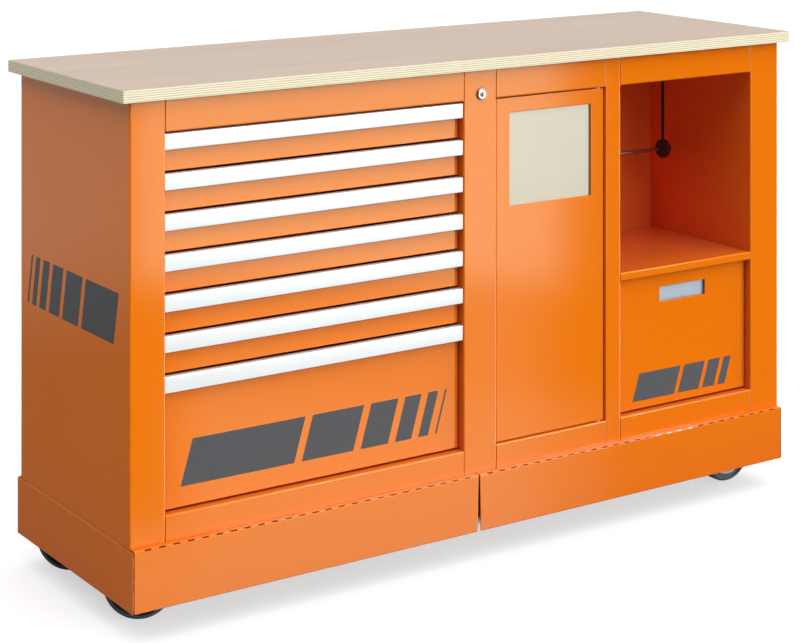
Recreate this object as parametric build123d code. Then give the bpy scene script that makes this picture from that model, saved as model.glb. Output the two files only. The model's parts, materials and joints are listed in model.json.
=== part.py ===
from build123d import *

import os
from math import cos, radians, sin

# A mobile workshop cabinet: a folded steel carcass on four castors, with a plywood worktop, seven
# drawers, a door with a waste flap, a niche with a paper-roll holder, and a drawer below the niche.
# +X runs along the front to the right, -Y is the front, +Z is up. The origin is on the floor, under
# the middle of the worktop. Millimetres.

# Driving dimensions
body_width = 1510.0
body_depth = 455.0
body_height = 765.0
floor_gap = 55.0
skirt_height = 107.0
sheet = 1.5
bend_radius = 1.75
seam = 0.3

worktop_thickness = 22.0
worktop_side_overhang = 20.0
worktop_front_overhang = 15.0
worktop_corner = 2.0
worktop_arris = 0.6

# Places of the front's openings, measured from the body's left side
drawer_bay = (68.0, 700.0)
door_bay = (776.0, 1045.0)
niche_bay = (1083.0, 1433.0)
top_rail_height = 58.0
bottom_rail_height = 46.0
rail_depth = 22.0

drawer_pitch = 70.0
small_drawers = 6
drawer_travel = 300.0
front_recess = 16.0
front_gap = 2.0
strip_height = 28.0
strip_recess = 2.5
strip_gap = 3.5
strip_end_gap = 1.0
tray_length = 400.0
tray_sheet = 1.2
slide_space = 13.0
slide_height = 36.0
slide_metal = 1.2
slide_hook = 5.0
slide_length = 390.0
slide_drop = 38.0
slide_setback = 24.0

niche_depth = 314.0
shelf_height = 333.0
shelf_flange = 16.5

wheel_radius = 62.5
wheel_width = 36.0
castor_trail = 32.0
castor_rest_turn = -30.0
swivel_inset = (98.0, 88.0)
fixed_inset = (79.0, 82.0)

# Planes and levels worked out from the driving dimensions
left = -body_width / 2
right = body_width / 2
front = -body_depth / 2
back = body_depth / 2
body_bottom = floor_gap + skirt_height
body_top = body_bottom + body_height
half = sheet / 2
pan_thickness = 3.0
floor_top = body_bottom + pan_thickness
ceiling = body_top - sheet
wall_back = back - 2 * sheet
opening_top = body_top - top_rail_height
opening_bottom = body_bottom + bottom_rail_height
shelf_top = body_bottom + shelf_height

parts = {}


def at(distance):
    """X of a place measured from the body's left side."""
    return left + distance


def deep(distance):
    """Y of a place measured from the body's front plane."""
    return front + distance


def block(x, y, z):
    """A box between the two limits on each axis."""
    size = [limits[1] - limits[0] for limits in (x, y, z)]
    middle = [(limits[0] + limits[1]) / 2 for limits in (x, y, z)]
    return Pos(*middle) * Box(*size)


def rod_x(x, y, z, diameter):
    return Pos((x[0] + x[1]) / 2, y, z) * Rot(0, 90, 0) * Cylinder(diameter / 2, x[1] - x[0])


def rod_y(x, y, z, diameter):
    return Pos(x, (y[0] + y[1]) / 2, z) * Rot(90, 0, 0) * Cylinder(diameter / 2, y[1] - y[0])


def rod_z(x, y, z, diameter):
    return Pos(x, y, (z[0] + z[1]) / 2) * Cylinder(diameter / 2, z[1] - z[0])


def folded(points, thickness=sheet):
    """The section of a folded sheet whose middle line passes through the points."""
    return trace(FilletPolyline(*points, radius=bend_radius), thickness)


def along_x(section, x):
    return extrude(Plane.YZ.offset(x[0]) * section, x[1] - x[0])


def along_y(section, y):
    return extrude(Plane.XZ.offset(-y[1]) * section, y[1] - y[0])


def along_z(section, z):
    return extrude(Plane.XY.offset(z[0]) * section, z[1] - z[0])


def save(name, *solids):
    """Keeps one node: a single solid, or a group of separate ones."""
    parts[name] = solids[0] if len(solids) == 1 else Compound(children=list(solids))


# ---------------------------------------------------------------- carcass

def inside_of_carcass(x, z):
    """The room that the floor pan or the ceiling pan takes between the outer skins."""
    return block(x, (front + sheet, back - sheet), z)


def fit_pans(wall, x):
    """Shortens a wall's inner leaves so that they stand between the two pans."""
    wall -= inside_of_carcass(x, (body_bottom, floor_top))
    return wall - inside_of_carcass(x, (ceiling, body_top))


def side_panel(outer, inner, toward):
    """A double-walled side: inner wall, front post, outer wall and a rear flange in one sheet."""
    rear_flange = 60.0
    section = folded([
        (inner - toward * half, wall_back),
        (inner - toward * half, front + half),
        (outer + toward * half, front + half),
        (outer + toward * half, back - half),
        (outer + toward * rear_flange, back - half),
    ])
    panel = along_z(section, (body_bottom, body_top))
    inner_side = sorted((outer + toward * sheet, inner + toward))
    return fit_pans(panel, inner_side)


def pillar(x):
    """A post between two bays: a front skin with a wall on each side, folded from one sheet."""
    section = folded([
        (x[0] + half, wall_back),
        (x[0] + half, front + half),
        (x[1] - half, front + half),
        (x[1] - half, wall_back),
    ])
    return fit_pans(along_z(section, (body_bottom, body_top)), (x[0] - 1, x[1] + 1))


def rail(x, z_edge, z_far):
    """A front rail whose edge is folded back at z_edge to line the opening."""
    inward = 1 if z_far > z_edge else -1
    section = folded([
        (deep(rail_depth), z_edge + inward * half),
        (front + half, z_edge + inward * half),
        (front + half, z_far),
    ])
    return along_x(section, (x[0] + seam, x[1] - seam))


bays = [(at(a), at(b)) for a, b in (drawer_bay, door_bay, niche_bay)]

worktop_limits = [
    (left - worktop_side_overhang, right + worktop_side_overhang),
    (front - worktop_front_overhang, back + worktop_front_overhang),
    (body_top, body_top + worktop_thickness),
]
worktop = block(*worktop_limits)
worktop = fillet(worktop.edges().filter_by(Axis.Z), worktop_corner)
worktop = chamfer(worktop.faces().sort_by(Axis.Z)[-1].edges(), worktop_arris)

# Screws up through the ceiling pan into the plywood, inside each side and each pillar
screw_diameter = 5.0
screw_bite = 15.0
screw_head = (11.0, 2.5)
screw_rows = (60.0, 395.0)
screw_columns = (
    drawer_bay[0] / 2,
    (drawer_bay[1] + door_bay[0]) / 2,
    (door_bay[1] + niche_bay[0]) / 2,
    (niche_bay[1] + body_width) / 2,
)
screw_places = [(at(x), deep(y)) for x in screw_columns for y in screw_rows]


def worktop_screw(x, y):
    head = rod_z(x, y, (ceiling - screw_head[1], ceiling), screw_head[0])
    shank = rod_z(x, y, (ceiling, body_top + screw_bite), screw_diameter)
    return head + shank


def drilled(plate, places, diameter, z):
    for x, y in places:
        plate -= rod_z(x, y, z, diameter)
    return plate


worktop = drilled(worktop, screw_places, screw_diameter, (body_top - 1, body_top + screw_bite))
ceiling_pan = inside_of_carcass((left + sheet, right - sheet), (ceiling, body_top))
ceiling_pan = drilled(ceiling_pan, screw_places, screw_diameter, (ceiling - 1, body_top + 1))
save("worktop", worktop)
save("worktop_screws", *[worktop_screw(x, y) for x, y in screw_places])
save("ceiling_pan", ceiling_pan)

save("left_side_panel", side_panel(left, at(drawer_bay[0]), 1))
save("right_side_panel", side_panel(right, at(niche_bay[1]), -1))
back_x = (left + 2 * sheet, right - 2 * sheet)
save("back_panel", block(back_x, (wall_back, back - sheet), (floor_top, ceiling)))
save("niche_pillar", pillar((at(door_bay[1]), at(niche_bay[0]))))

niche_x = (bays[2][0] + seam, bays[2][1] - seam)
niche_back_y = deep(niche_depth)
niche_back_flange = 15.0
niche_back_drop = 20.0
shelf_lip = 14.0
shelf_section = folded([
    (niche_back_y, shelf_top - half),
    (front + half, shelf_top - half),
    (front + half, shelf_top - shelf_flange + half),
    (deep(shelf_lip), shelf_top - shelf_flange + half),
])
save("niche_shelf", along_x(shelf_section, niche_x))
niche_back_section = folded([
    (niche_x[0] + half, niche_back_y + niche_back_flange),
    (niche_x[0] + half, niche_back_y + half),
    (niche_x[1] - half, niche_back_y + half),
    (niche_x[1] - half, niche_back_y + niche_back_flange),
])
save("niche_back", along_z(niche_back_section, (shelf_top - niche_back_drop, ceiling)))

# ---------------------------------------------------------------- drawers

drawer_x = bays[0]
lower_x = bays[2]
tray_lip = 5.0
panel_fold = 6.0
box_rise = 4.0
box_drop = 12.0
panel_drop = 8.0


def front_panel(x, z):
    """A drawer's front: a sheet with its two ends folded back."""
    fold = front_recess + panel_fold
    section = folded([
        (x[0] + front_gap + half, deep(fold)),
        (x[0] + front_gap + half, deep(front_recess) + half),
        (x[1] - front_gap - half, deep(front_recess) + half),
        (x[1] - front_gap - half, deep(fold)),
    ])
    return along_z(section, z)


def tray(x, z):
    """An open box with inward lips along its side walls."""
    y = (deep(front_recess) + half, deep(front_recess) + tray_length)
    box = block(x, y, z)
    inner_x = (x[0] + tray_sheet, x[1] - tray_sheet)
    box -= block(inner_x, (y[0] - 1, y[1] - tray_sheet), (z[0] + tray_sheet, z[1] + 1))
    for edge in (x[0] + tray_sheet, x[1] - tray_sheet - tray_lip):
        box += block((edge, edge + tray_lip), y, (z[1] - tray_sheet, z[1]))
    return box


def drawer_box(x, z, panel_z):
    """A drawer's steelwork: the tray and the front panel that closes it, welded into one."""
    return tray((x[0] + slide_space, x[1] - slide_space), z) + front_panel(x, panel_z)


# The lock's lugs and tabs, measured down from the top of each drawer's module
lug_reach = 9.0
lug_y = (36.0, 42.0)
lug_drop = (65.0, 59.0)
tab_drop = (78.0, 70.0)


def lock_lug(module_top):
    """The lug on a drawer's right wall that the raised lock bar blocks."""
    wall = drawer_x[1] - slide_space
    z = (module_top - lug_drop[0], module_top - lug_drop[1])
    return block((wall - tray_sheet / 2, wall + lug_reach), (deep(lug_y[0]), deep(lug_y[1])), z)


def strip(z_top):
    """The extruded handle: a bowed face hung from a top wall, with a rear leg on the front panel."""
    bow = 0.8
    wall = 2.0
    leg = 16.0
    nose = 3.0
    face = strip_recess + bow
    rear = front_recess
    low = z_top - strip_height
    inside = Polyline(
        (deep(face + nose), z_top),
        (deep(rear), z_top),
        (deep(rear), z_top - leg),
        (deep(rear - wall), z_top - leg),
        (deep(rear - wall), z_top - wall),
        (deep(face + nose), z_top - wall),
        (deep(face + wall), z_top - nose),
        (deep(face + wall), low),
        (deep(face), low),
    )
    bowed = ThreePointArc(
        (deep(face), low),
        (deep(strip_recess), low + (strip_height - nose) / 2),
        (deep(face), z_top - nose),
    )
    shoulder = RadiusArc((deep(face), z_top - nose), (deep(face + nose), z_top), nose)
    section = make_face(inside + bowed + shoulder)
    return along_x(section, (drawer_x[0] + strip_end_gap, drawer_x[1] - strip_end_gap))


def channel_section(z, wall, toward):
    """The fixed slide member: a channel on the bay's wall, its lips turned in."""
    outside = slide_height / 2
    metal = slide_metal
    hook = slide_hook
    depth = 10.0
    far = wall + toward * depth
    body = Polyline(
        (wall, z - outside),
        (far, z - outside),
        (far, z - outside + hook),
        (far - toward * metal, z - outside + hook),
        (far - toward * metal, z - outside + metal),
        (wall + toward * metal, z - outside + metal),
        (wall + toward * metal, z + outside - metal),
        (far - toward * metal, z + outside - metal),
        (far - toward * metal, z + outside - hook),
        (far, z + outside - hook),
        (far, z + outside),
        (wall, z + outside),
        close=True,
    )
    return make_face(body)


def runner_section(z, wall, toward):
    """The drawer's slide member: a hat whose brims run behind the channel's lips."""
    metal = slide_metal
    brim_play = 0.1
    neck_play = 0.3
    set_off = 3.0
    brim = slide_height / 2 - metal - brim_play
    neck = slide_height / 2 - slide_hook - neck_play
    root = wall + toward * slide_space
    brim_near = wall + toward * set_off
    brim_far = brim_near + toward * metal
    body = Polyline(
        (brim_near, z - brim),
        (brim_near, z - neck + metal),
        (root - toward * metal, z - neck + metal),
        (root - toward * metal, z + neck - metal),
        (brim_near, z + neck - metal),
        (brim_near, z + brim),
        (brim_far, z + brim),
        (brim_far, z + neck),
        (root, z + neck),
        (root, z - neck),
        (brim_far, z - neck),
        (brim_far, z - brim),
        close=True,
    )
    return make_face(body)


slide_y = (deep(slide_setback), deep(slide_setback + slide_length))


def slide_pair(section, x, z):
    """The left and right member of a slide pair at one height."""
    return [
        along_y(section(z, x[0], 1), slide_y),
        along_y(section(z, x[1], -1), slide_y),
    ]


channels = []
bottom_gap = 4.0
module_tops = [opening_top - n * drawer_pitch for n in range(small_drawers + 1)]
module_bottoms = module_tops[1:] + [opening_bottom + bottom_gap]

for number, (top, bottom) in enumerate(zip(module_tops, module_bottoms), start=1):
    steelwork = drawer_box(drawer_x, (bottom + box_rise, top - box_drop), (bottom, top - panel_drop))
    save(f"drawer_{number}_tray", steelwork + lock_lug(top))
    save(f"drawer_{number}_handle", strip(top - strip_gap))
    save(f"drawer_{number}_runners", *slide_pair(runner_section, drawer_x, top - slide_drop))
    channels += slide_pair(channel_section, drawer_x, top - slide_drop)

# The drawer below the niche, with a finger slot instead of a handle strip
lower_top_gap = 3.0
lower_box_drop = 18.0
lower_slide_rise = 120.0
lower_top = shelf_top - shelf_flange - lower_top_gap
lower_bottom = opening_bottom + bottom_gap
lower_slide_z = lower_bottom + lower_slide_rise
grip_width = 122.0
grip_height = 30.0
grip_drop = 26.0
grip_offset = 1.5
grip_z = (lower_top - grip_drop - grip_height, lower_top - grip_drop)
grip_middle = (lower_x[0] + lower_x[1]) / 2 + grip_offset
grip_x = (grip_middle - grip_width / 2, grip_middle + grip_width / 2)

lower_box_z = (lower_bottom + box_rise, lower_top - lower_box_drop)
lower_box = drawer_box(lower_x, lower_box_z, (lower_bottom, lower_top))
lower_box -= block(grip_x, (deep(front_recess) - 1, deep(front_recess) + 2 * sheet), grip_z)
save("lower_drawer_box", lower_box)

panel_back = deep(front_recess) + sheet
plate_set_back = 4.0
plate_margin = 2.0
plate_lap = 8.0
foot = 10.0
grip_section = folded([
    (panel_back + half, grip_z[0] - plate_lap - foot),
    (panel_back + half, grip_z[0] - plate_lap),
    (panel_back + plate_set_back + half, grip_z[0] - plate_margin),
    (panel_back + plate_set_back + half, grip_z[1] + plate_margin),
    (panel_back + half, grip_z[1] + plate_lap),
    (panel_back + half, grip_z[1] + plate_lap + foot),
])
save("lower_drawer_grip", along_x(grip_section, (grip_x[0] - plate_lap, grip_x[1] + plate_lap)))
save("lower_drawer_runners", *slide_pair(runner_section, lower_x, lower_slide_z))
channels += slide_pair(channel_section, lower_x, lower_slide_z)
save("slide_channels", *channels)

# ---------------------------------------------------------------- lock

lock_x = at(741.0)
lock_z = body_bottom + 718.0
cam_radius = 8.0
cam_pin = 5.0
plug_diameter = 12.0
thread_diameter = 16.0
thread_end = 24.0
bezel_diameter = 19.5
bezel_height = 3.0
lock_nut = (24.0, 4.0)
cam_y = (25.0, 28.0)
cam_pin_end = 35.0
play = 0.1

# The pin starts 45 degrees below the plug's middle and ends 45 degrees above it, lifting the bar
pin_offset = cam_radius * cos(radians(45))
bar_lift = 2 * cam_radius * sin(radians(45))
bar_width = 12.0
bar_x = (drawer_x[1] + 4, drawer_x[1] + 4 + bar_width)
bar_y = (deep(31), deep(33))
bar_foot = module_tops[-1] - 90
bar_head_reach = 15.0
bar_head_height = 16.0
pin_slot_play = 0.6
tab_reach = drawer_x[1] - 10
guide_wall = 3.0
guide_height = 10.0


def tab_z(module_top):
    """The height of a lock tab while unlocked: just under its drawer's lug."""
    return (module_top - tab_drop[0], module_top - tab_drop[1])


def lock_bar():
    """An upright bar with a cam slot at its head and one tab for each drawer."""
    pin_rest = lock_z - bar_lift / 2
    head_z = (pin_rest - bar_head_height / 2, pin_rest + bar_head_height / 2)
    bar = block(bar_x, bar_y, (bar_foot, head_z[1]))
    bar += block((bar_x[0], lock_x + bar_head_reach), bar_y, head_z)
    slot_half = cam_pin / 2 + pin_slot_play
    slot_x = (lock_x + pin_offset - cam_pin / 2 - 1, lock_x + cam_radius + cam_pin / 2 + 1.5)
    bar -= block(slot_x, (bar_y[0] - 1, bar_y[1] + 1), (pin_rest - slot_half, pin_rest + slot_half))
    for top in module_tops:
        bar += block((tab_reach, bar_x[0]), bar_y, tab_z(top))
    return bar


def bar_guide(z):
    """A small bracket inside the pillar that holds the lock bar."""
    low, high = z - guide_height / 2, z + guide_height / 2
    bracket = block(
        (drawer_x[1] + sheet - play, bar_x[1] + guide_wall),
        (bar_y[0] - guide_wall, bar_y[1] + guide_wall),
        (low, high),
    )
    passage = block(
        (bar_x[0] - play, bar_x[1] + play),
        (bar_y[0] - play, bar_y[1] + play),
        (low - 1, high + 1),
    )
    return bracket - passage


centre_pillar = pillar((bays[0][1], bays[1][0]))
centre_pillar -= rod_y(lock_x, (front - 1, deep(4)), lock_z, thread_diameter)
for top in module_tops:
    low, high = tab_z(top)
    centre_pillar -= block((drawer_x[1] - 1, drawer_x[1] + 2), (bar_y[0] - 1, bar_y[1] + 1),
                           (low - 1, high + bar_lift + 1))
guide_drop = 30.0
for top in (module_tops[1], module_tops[-1]):
    centre_pillar += bar_guide(top - guide_drop)
save("centre_pillar", centre_pillar)
save("lock_bar", lock_bar())

nut_y = (deep(sheet), deep(sheet + lock_nut[1]))
barrel = rod_y(lock_x, (front - bezel_height, front), lock_z, bezel_diameter)
barrel += rod_y(lock_x, (front, deep(thread_end)), lock_z, thread_diameter)
barrel += along_y(Pos(lock_x, lock_z) * RegularPolygon(lock_nut[0] / 2, 6), nut_y)
barrel -= rod_y(lock_x, (front - bezel_height - 1, deep(cam_y[0])), lock_z, plug_diameter + play)
save("lock_barrel", barrel)

key_slot_width = 1.6
key_slot_height = 7.0
key_slot_depth = 6.0
plug_set_back = 0.5
cam_diameter = 24.0
plug = rod_y(lock_x, (front - bezel_height + plug_set_back, deep(cam_y[0])), lock_z, plug_diameter)
plug += rod_y(lock_x, (deep(cam_y[0]), deep(cam_y[1])), lock_z, cam_diameter)
plug += rod_y(lock_x + pin_offset, (deep(cam_y[1]), deep(cam_pin_end)), lock_z - pin_offset, cam_pin)
plug -= Pos(lock_x, front, lock_z) * Box(key_slot_width, 2 * key_slot_depth, key_slot_height)
save("lock_plug", plug)

# ---------------------------------------------------------------- door and waste bin

door_recess = 4.5
door_gap = 2.0
door_end_gap = 2.5
door_fold = 18.0
door_x = (bays[1][0] + door_gap, bays[1][1] - door_gap)
door_z = (opening_bottom + door_end_gap, opening_top - door_end_gap)
door_y = (deep(door_recess), deep(door_recess) + sheet)
pivot_x = door_x[1] - 12
pivot_y = deep(door_recess + 5)
pivot_diameter = 6.0
window_width = 200.0
window_height = 180.0
window_drop = 28.5
window_top = door_z[1] - window_drop
window_middle = (door_x[0] + door_x[1]) / 2
flap_set_back = 2.5
flap_thickness = 1.0
flap_lap = 4.0
flap_rise = 9.0
pin_y = door_y[1] + 6
pin_z = window_top + flap_rise
flap_pin_diameter = 5.0
knuckle_diameter = 8.0
ear_half = 6.0
ear_half_thickness = 1.0
ear_reach = window_width / 2 + flap_lap + 4


def door_panel():
    """The door: a sheet with all four edges folded back, a window and two ears for the flap's pin."""
    fold_back = deep(door_recess + door_fold)
    section = folded([
        (door_x[0] + half, fold_back),
        (door_x[0] + half, door_y[0] + half),
        (door_x[1] - half, door_y[0] + half),
        (door_x[1] - half, fold_back),
    ])
    panel = along_z(section, door_z)
    for z in (door_z[0], door_z[1] - sheet):
        flange = block((door_x[0] + sheet, door_x[1] - sheet), (door_y[1], fold_back), (z, z + sheet))
        panel += flange
        panel -= rod_z(pivot_x, pivot_y, (z - 1, z + sheet + 1), pivot_diameter + play)
    window_x = (window_middle - window_width / 2, window_middle + window_width / 2)
    panel -= block(window_x, (door_y[0] - 1, door_y[1] + 1), (window_top - window_height, window_top))
    for side in (-1, 1):
        ear = window_middle + side * ear_reach
        ear_x = (ear - ear_half_thickness, ear + ear_half_thickness)
        ear_y = (door_y[1] - play, pin_y + ear_half)
        panel += block(ear_x, ear_y, (pin_z - ear_half, pin_z + ear_half))
    return panel - rod_x((door_x[0] + 4, door_x[1] - 4), pin_y, pin_z, flap_pin_diameter)


def waste_flap():
    """The flap behind the door's window, hung from its pin by a rolled knuckle."""
    flap_x = (window_middle - window_width / 2 - flap_lap, window_middle + window_width / 2 + flap_lap)
    flap_y = (door_y[1] + flap_set_back, door_y[1] + flap_set_back + flap_thickness)
    plate = block(flap_x, flap_y, (window_top - window_height - flap_lap, pin_z))
    knuckle = rod_x(flap_x, pin_y, pin_z, knuckle_diameter)
    bore = rod_x((flap_x[0] - 1, flap_x[1] + 1), pin_y, pin_z, flap_pin_diameter + play)
    return plate + knuckle - bore


pin_overhang = 3.0
pin_reach = (window_middle - ear_reach - pin_overhang, window_middle + ear_reach + pin_overhang)
save("door_panel", door_panel())
save("waste_flap", waste_flap())
save("flap_pin", rod_x(pin_reach, pin_y, pin_z, flap_pin_diameter))

washer_diameter = 10.0
pivot_head = 3.0
pivot_bite = 5.0
pivot_pins = []
for frame_z, door_edge, up in ((opening_top, door_z[1], 1), (opening_bottom, door_z[0], -1)):
    shank = sorted((frame_z + up * (sheet + pivot_head), door_edge - up * pivot_bite))
    washer = sorted((frame_z - up * play, door_edge + up * play))
    head = sorted((frame_z + up * sheet, frame_z + up * (sheet + pivot_head)))
    pin = rod_z(pivot_x, pivot_y, shank, pivot_diameter)
    pin += rod_z(pivot_x, pivot_y, washer, washer_diameter)
    pin += rod_z(pivot_x, pivot_y, head, washer_diameter)
    pivot_pins.append(pin)
save("door_pivot_pins", *pivot_pins)

rail_levels = ((opening_top, body_top), (opening_bottom, body_bottom))
pivot_hole = rod_z(pivot_x, pivot_y, (opening_bottom - 2 * sheet, opening_top + 2 * sheet), pivot_diameter)
save("front_rails", *[rail(bay, *levels) - pivot_hole for levels in rail_levels for bay in bays])

bin_wall = 2.5
bin_side_gap = 14.0
bin_corner = 14.0
rim_corner = 16.0
rim_height = 8.0
bin_x = (door_x[0] + bin_side_gap, door_x[1] - bin_side_gap)
bin_y = (deep(40), deep(340))
bin_z = (floor_top + 1, floor_top + 470)
bin_draft = 10.0


def bin_solid(shrink, z):
    """A tapered block, narrower at its foot."""
    top_size = (bin_x[1] - bin_x[0] - 2 * shrink, bin_y[1] - bin_y[0] - 2 * shrink)
    foot_size = (top_size[0] - 2 * bin_draft, top_size[1] - 2 * bin_draft)
    middle = ((bin_x[0] + bin_x[1]) / 2, (bin_y[0] + bin_y[1]) / 2)
    foot = Pos(*middle, z[0]) * RectangleRounded(*foot_size, bin_corner)
    top = Pos(*middle, z[1]) * RectangleRounded(*top_size, bin_corner)
    return loft([foot, top])


rim_outline = RectangleRounded(bin_x[1] - bin_x[0], bin_y[1] - bin_y[0], rim_corner)
rim_place = Pos((bin_x[0] + bin_x[1]) / 2, (bin_y[0] + bin_y[1]) / 2, bin_z[1] - rim_height)
waste_bin = bin_solid(bin_wall, bin_z) + rim_place * extrude(rim_outline, rim_height)
waste_bin -= bin_solid(2 * bin_wall, (bin_z[0] + bin_wall, bin_z[1] + 0.5))
save("waste_bin", waste_bin)

# ---------------------------------------------------------------- paper-roll holder

hanger_inset = 45.0
hanger_diameter = 7.0
hanger_foot = (34.0, 3.0)
spindle_diameter = 8.0
spindle_y = deep(225)
spindle_z = body_bottom + 520.0
disc_diameter = 40.0
disc_thickness = 8.0
hub_diameter = 20.0
hub_length = 11.0
hub_end = 3.0


def roll_hanger(x, outward):
    """A rod from the ceiling that ends in a disc, with a closed hub behind it for the spindle's end."""
    hub_reach = disc_thickness / 2 + hub_length
    hub_x = sorted((x, x + outward * hub_reach))
    bore_x = sorted((x - outward * disc_thickness, x + outward * (hub_reach - hub_end)))
    foot = rod_z(x, spindle_y, (ceiling - hanger_foot[1], ceiling), hanger_foot[0])
    stem = rod_z(x, spindle_y, (spindle_z, ceiling), hanger_diameter)
    disc = rod_x((x - disc_thickness / 2, x + disc_thickness / 2), spindle_y, spindle_z, disc_diameter)
    hub = rod_x(hub_x, spindle_y, spindle_z, hub_diameter)
    bore = rod_x(bore_x, spindle_y, spindle_z, spindle_diameter + play)
    return foot + stem + disc + hub - bore


hanger_x = (bays[2][0] + hanger_inset, bays[2][1] - hanger_inset)
save("roll_hangers", roll_hanger(hanger_x[0], -1), roll_hanger(hanger_x[1], 1))

end_play = 0.5
spindle_reach = disc_thickness / 2 + hub_length - hub_end - end_play
spindle_x = (hanger_x[0] - spindle_reach, hanger_x[1] + spindle_reach)
save("roll_spindle", rod_x(spindle_x, spindle_y, spindle_z, spindle_diameter))

# ---------------------------------------------------------------- skirt

skirt_proud = 11.0
skirt_front = front - skirt_proud
skirt_back = back + worktop_front_overhang
flange = 30.0
skirt_top = body_bottom - half
joint_x = at(728.0)
joint_gap = 3.0
joint_lean = 2.5
slot_pitch = 28.0
slot_length = 13.0
slot_reach = 2.6
slot_drop = (2.6, 0.4)
corner_gap = 2.0


def long_skirt(x, skin, toward):
    """A plate along the front or back, its top folded inwards under the body on a slotted line."""
    body_face = front if toward > 0 else back
    section = folded([
        (body_face + toward * flange, skirt_top),
        (skin + toward * half, skirt_top),
        (skin + toward * half, floor_gap),
    ])
    plate = along_x(section, x)
    slots = int((x[1] - x[0]) // slot_pitch)
    start = (x[0] + x[1] - (slots - 1) * slot_pitch) / 2
    edge = sorted((skin - toward, skin + toward * slot_reach))
    slot_z = (body_bottom - slot_drop[0], body_bottom - slot_drop[1])
    for n in range(slots):
        middle = start + n * slot_pitch
        plate -= block((middle - slot_length / 2, middle + slot_length / 2), edge, slot_z)
    return plate


def end_wedge(x, lean):
    """The sliver taken off a front plate's end, so that the joint opens towards the floor."""
    corners = Polyline((x, body_bottom + 1), (x, floor_gap - 1), (x + lean, floor_gap - 1), close=True)
    return along_y(make_face(corners), (skirt_front - 1, deep(flange + 1)))


def side_skirt(skin, toward):
    """A plate along one end, with its flange kept clear of the long plates' flanges."""
    section = folded([
        (skin + toward * flange, skirt_top),
        (skin + toward * half, skirt_top),
        (skin + toward * half, floor_gap),
    ])
    plate = along_y(section, (skirt_front, skirt_back))
    clear = 0.05
    inner = sorted((skin + toward * (sheet + clear / 5), skin + toward * (flange + 1)))
    bend = sorted((skin, skin + toward * 5))
    for y in ((skirt_front - 1, deep(flange + 1)), (back - flange - 1, skirt_back + 1)):
        plate -= block(inner, y, (body_bottom - 4, body_bottom + 1))
        plate -= block(bend, y, (body_bottom - sheet - clear, body_bottom + 1))
    return plate


bolt_diameter = 8.0
bolt_head = 13.0
bolt_head_height = 5.3
nut_height = 6.5


def base_bolt(x, y, under):
    """A hexagon bolt from below through a plate and the floor pan, with its nut on top."""
    hexagon = RegularPolygon(bolt_head / 2, 6, major_radius=False)
    head = extrude(Plane.XY.offset(under - bolt_head_height) * Pos(x, y) * hexagon, bolt_head_height)
    nut = extrude(Plane.XY.offset(floor_top) * Pos(x, y) * hexagon, nut_height)
    return head + rod_z(x, y, (under, floor_top), bolt_diameter) + nut


edge_gap = sheet + corner_gap
front_left_x = (left + edge_gap, joint_x - joint_gap / 2)
front_right_x = (joint_x + joint_gap / 2, right - edge_gap)
back_skirt_x = (left + edge_gap, right - edge_gap)
skirt_under = body_bottom - sheet
bolt_inset = 18.0
front_bolts = deep(bolt_inset)
back_bolts = back - bolt_inset
bolts_left = [(at(x), front_bolts) for x in (50, 370, 680)]
bolts_right = [(at(x), front_bolts) for x in (760, 1110, 1450)]
bolts_back = [(at(x), back_bolts) for x in (50, 520, 990, 1450)]
bolts_side = [(x, deep(y)) for x in (left + bolt_inset, right - bolt_inset) for y in (160, 300)]

front_left = long_skirt(front_left_x, skirt_front, 1) - end_wedge(front_left_x[1], -joint_lean)
front_right = long_skirt(front_right_x, skirt_front, 1) - end_wedge(front_right_x[0], joint_lean)
back_plate = long_skirt(back_skirt_x, skirt_back, -1)
skirt_z = (skirt_under - 1, body_bottom + 1)
save("front_skirt_left", drilled(front_left, bolts_left, bolt_diameter, skirt_z))
save("front_skirt_right", drilled(front_right, bolts_right, bolt_diameter, skirt_z))
save("back_skirt", drilled(back_plate, bolts_back, bolt_diameter, skirt_z))
save("side_skirts",
     drilled(side_skirt(left, 1), bolts_side[:2], bolt_diameter, skirt_z),
     drilled(side_skirt(right, -1), bolts_side[2:], bolt_diameter, skirt_z))

# ---------------------------------------------------------------- castors

plate_size = (95.0, 75.0)
plate_holes = (80.0, 50.0)
plate_thickness = 3.0
axle_diameter = 12.0
leg_thickness = 3.0
leg_gap = wheel_width / 2 + 1.0
leg_shoulder = 27.0
leg_boss = 15.0
axle_head = (20.0, 6.0)
plate_corner = 8.0
plate_under = body_bottom - plate_thickness
kingpin_diameter = 16.0
swivel_x = left + swivel_inset[0]
swivel_y = (deep(swivel_inset[1]), deep(body_depth - swivel_inset[1]))
fixed_x = right - fixed_inset[0]
fixed_y = (deep(fixed_inset[1]), deep(body_depth - fixed_inset[1]))


def plate_bolts(x, y):
    """The four bolt places of a castor's top plate."""
    return [(x + i * plate_holes[0] / 2, y + j * plate_holes[1] / 2) for i in (-1, 1) for j in (-1, 1)]


def top_plate(x, y):
    half_x, half_y = plate_size[0] / 2, plate_size[1] / 2
    plate = block((x - half_x, x + half_x), (y - half_y, y + half_y), (plate_under, body_bottom))
    plate = fillet(plate.edges().filter_by(Axis.Z), plate_corner)
    return drilled(plate, plate_bolts(x, y), bolt_diameter, (plate_under - 1, body_bottom + 1))


def fork_legs(x, y, axle_x, top):
    """Two legs that narrow from the crown down to the axle."""
    outline = Polyline(
        (x - leg_shoulder, top),
        (axle_x - leg_boss, wheel_radius),
        (axle_x + leg_boss, wheel_radius),
        (x + leg_shoulder, top),
        close=True,
    )
    leg = make_face(outline) + Pos(axle_x, wheel_radius) * Circle(leg_boss)
    legs = None
    for side in (-1, 1):
        near = y + side * leg_gap
        one = along_y(leg, sorted((near, near + side * leg_thickness)))
        legs = one if legs is None else legs + one
    return legs - rod_y(axle_x, (y - wheel_width, y + wheel_width), wheel_radius, axle_diameter)


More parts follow.
